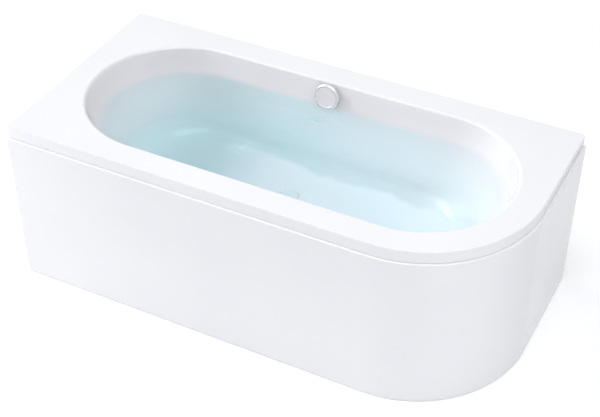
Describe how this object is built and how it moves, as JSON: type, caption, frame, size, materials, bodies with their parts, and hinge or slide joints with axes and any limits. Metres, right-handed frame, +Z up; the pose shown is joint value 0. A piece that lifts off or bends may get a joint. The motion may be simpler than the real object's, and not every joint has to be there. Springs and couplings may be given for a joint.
{
  "type": "bathtub",
  "caption": "Built-in bathtub with one large rounded front corner, a one-piece front panel, a turning overflow knob that lifts the drain plug, and levelling feet.",
  "frame": {"origin": "centre of the bath's outline in plan, on the floor", "axes": "+X along the length to the end with the rounded corner, +Y to the wall behind, +Z up"},
  "size_m": [1.708, 0.823, 0.625],
  "materials": {
    "acrylic": "glossy white cast acrylic",
    "panel": "glossy white acrylic",
    "board": "raw chipboard",
    "zinc": "zinc plated sheet",
    "steel": "bright plated",
    "pad": "moulded, satin",
    "clip": "moulded, satin",
    "chrome": "polished",
    "brass": "machined",
    "waste": "moulded, satin",
    "trap": "moulded, satin",
    "seal": "matt",
    "hose": "ribbed, satin",
    "cable": "sheathed, satin"
  },
  "bodies": {
    "bath": {"bath_shell": "acrylic", "front_panel": "panel", "base_board": "board", "cradle_left": "zinc", "cradle_right": "zinc", "wall_bracket_back_left": "zinc", "wall_bracket_back_right": "zinc", "wall_bracket_end": "zinc", "panel_floor_clips": "zinc", "cradle_screws": "steel", "foot_nuts": "steel", "hose_clip_upper": "steel", "hose_clip_lower": "steel", "panel_clips": "clip", "overflow_ring": "chrome", "waste_flange": "chrome", "waste_body": "waste", "overflow_body": "waste", "trap_bend": "trap", "trap_nut_inlet": "trap", "trap_nut_outlet": "trap", "outlet_pipe": "trap", "flange_gasket": "seal", "waste_gasket": "seal", "ring_gasket": "seal", "overflow_gasket": "seal", "trap_seal": "seal", "overflow_hose": "hose", "control_cable": "cable"},
    "knob": {"overflow_knob": "chrome", "knob_spindle": "brass"},
    "plug": {"plug_cap": "chrome", "plug_stem": "brass", "plug_seal": "seal"},
    "foot_front_left": {"foot_pad_front_left": "pad", "foot_rod_front_left": "steel"},
    "foot_front_right": {"foot_pad_front_right": "pad", "foot_rod_front_right": "steel"},
    "foot_back_left": {"foot_pad_back_left": "pad", "foot_rod_back_left": "steel"},
    "foot_back_right": {"foot_pad_back_right": "pad", "foot_rod_back_right": "steel"}
  },
  "joints": [
    {"name": "knob_turn", "type": "hinge", "parent": "bath", "child": "knob", "pos_m": [-0.029, 0.30752, 0.575], "axis": [0, -0.9904, 0.1382], "range_deg": [0, 90]},
    {"name": "plug_lift", "type": "slide", "parent": "bath", "child": "plug", "axis": [0, 0, 1], "range_m": [0, 0.012]},
    {"name": "foot_front_left_level", "type": "slide", "parent": "bath", "child": "foot_front_left", "axis": [0, 0, -1], "range_m": [-0.02, 0.03]},
    {"name": "foot_front_right_level", "type": "slide", "parent": "bath", "child": "foot_front_right", "axis": [0, 0, -1], "range_m": [-0.02, 0.03]},
    {"name": "foot_back_left_level", "type": "slide", "parent": "bath", "child": "foot_back_left", "axis": [0, 0, -1], "range_m": [-0.02, 0.03]},
    {"name": "foot_back_right_level", "type": "slide", "parent": "bath", "child": "foot_back_right", "axis": [0, 0, -1], "range_m": [-0.02, 0.03]}
  ],
  "couplings": [
    {"joint": "plug_lift", "follows": "knob_turn", "m_per_rad": 0.0076394}
  ]
}
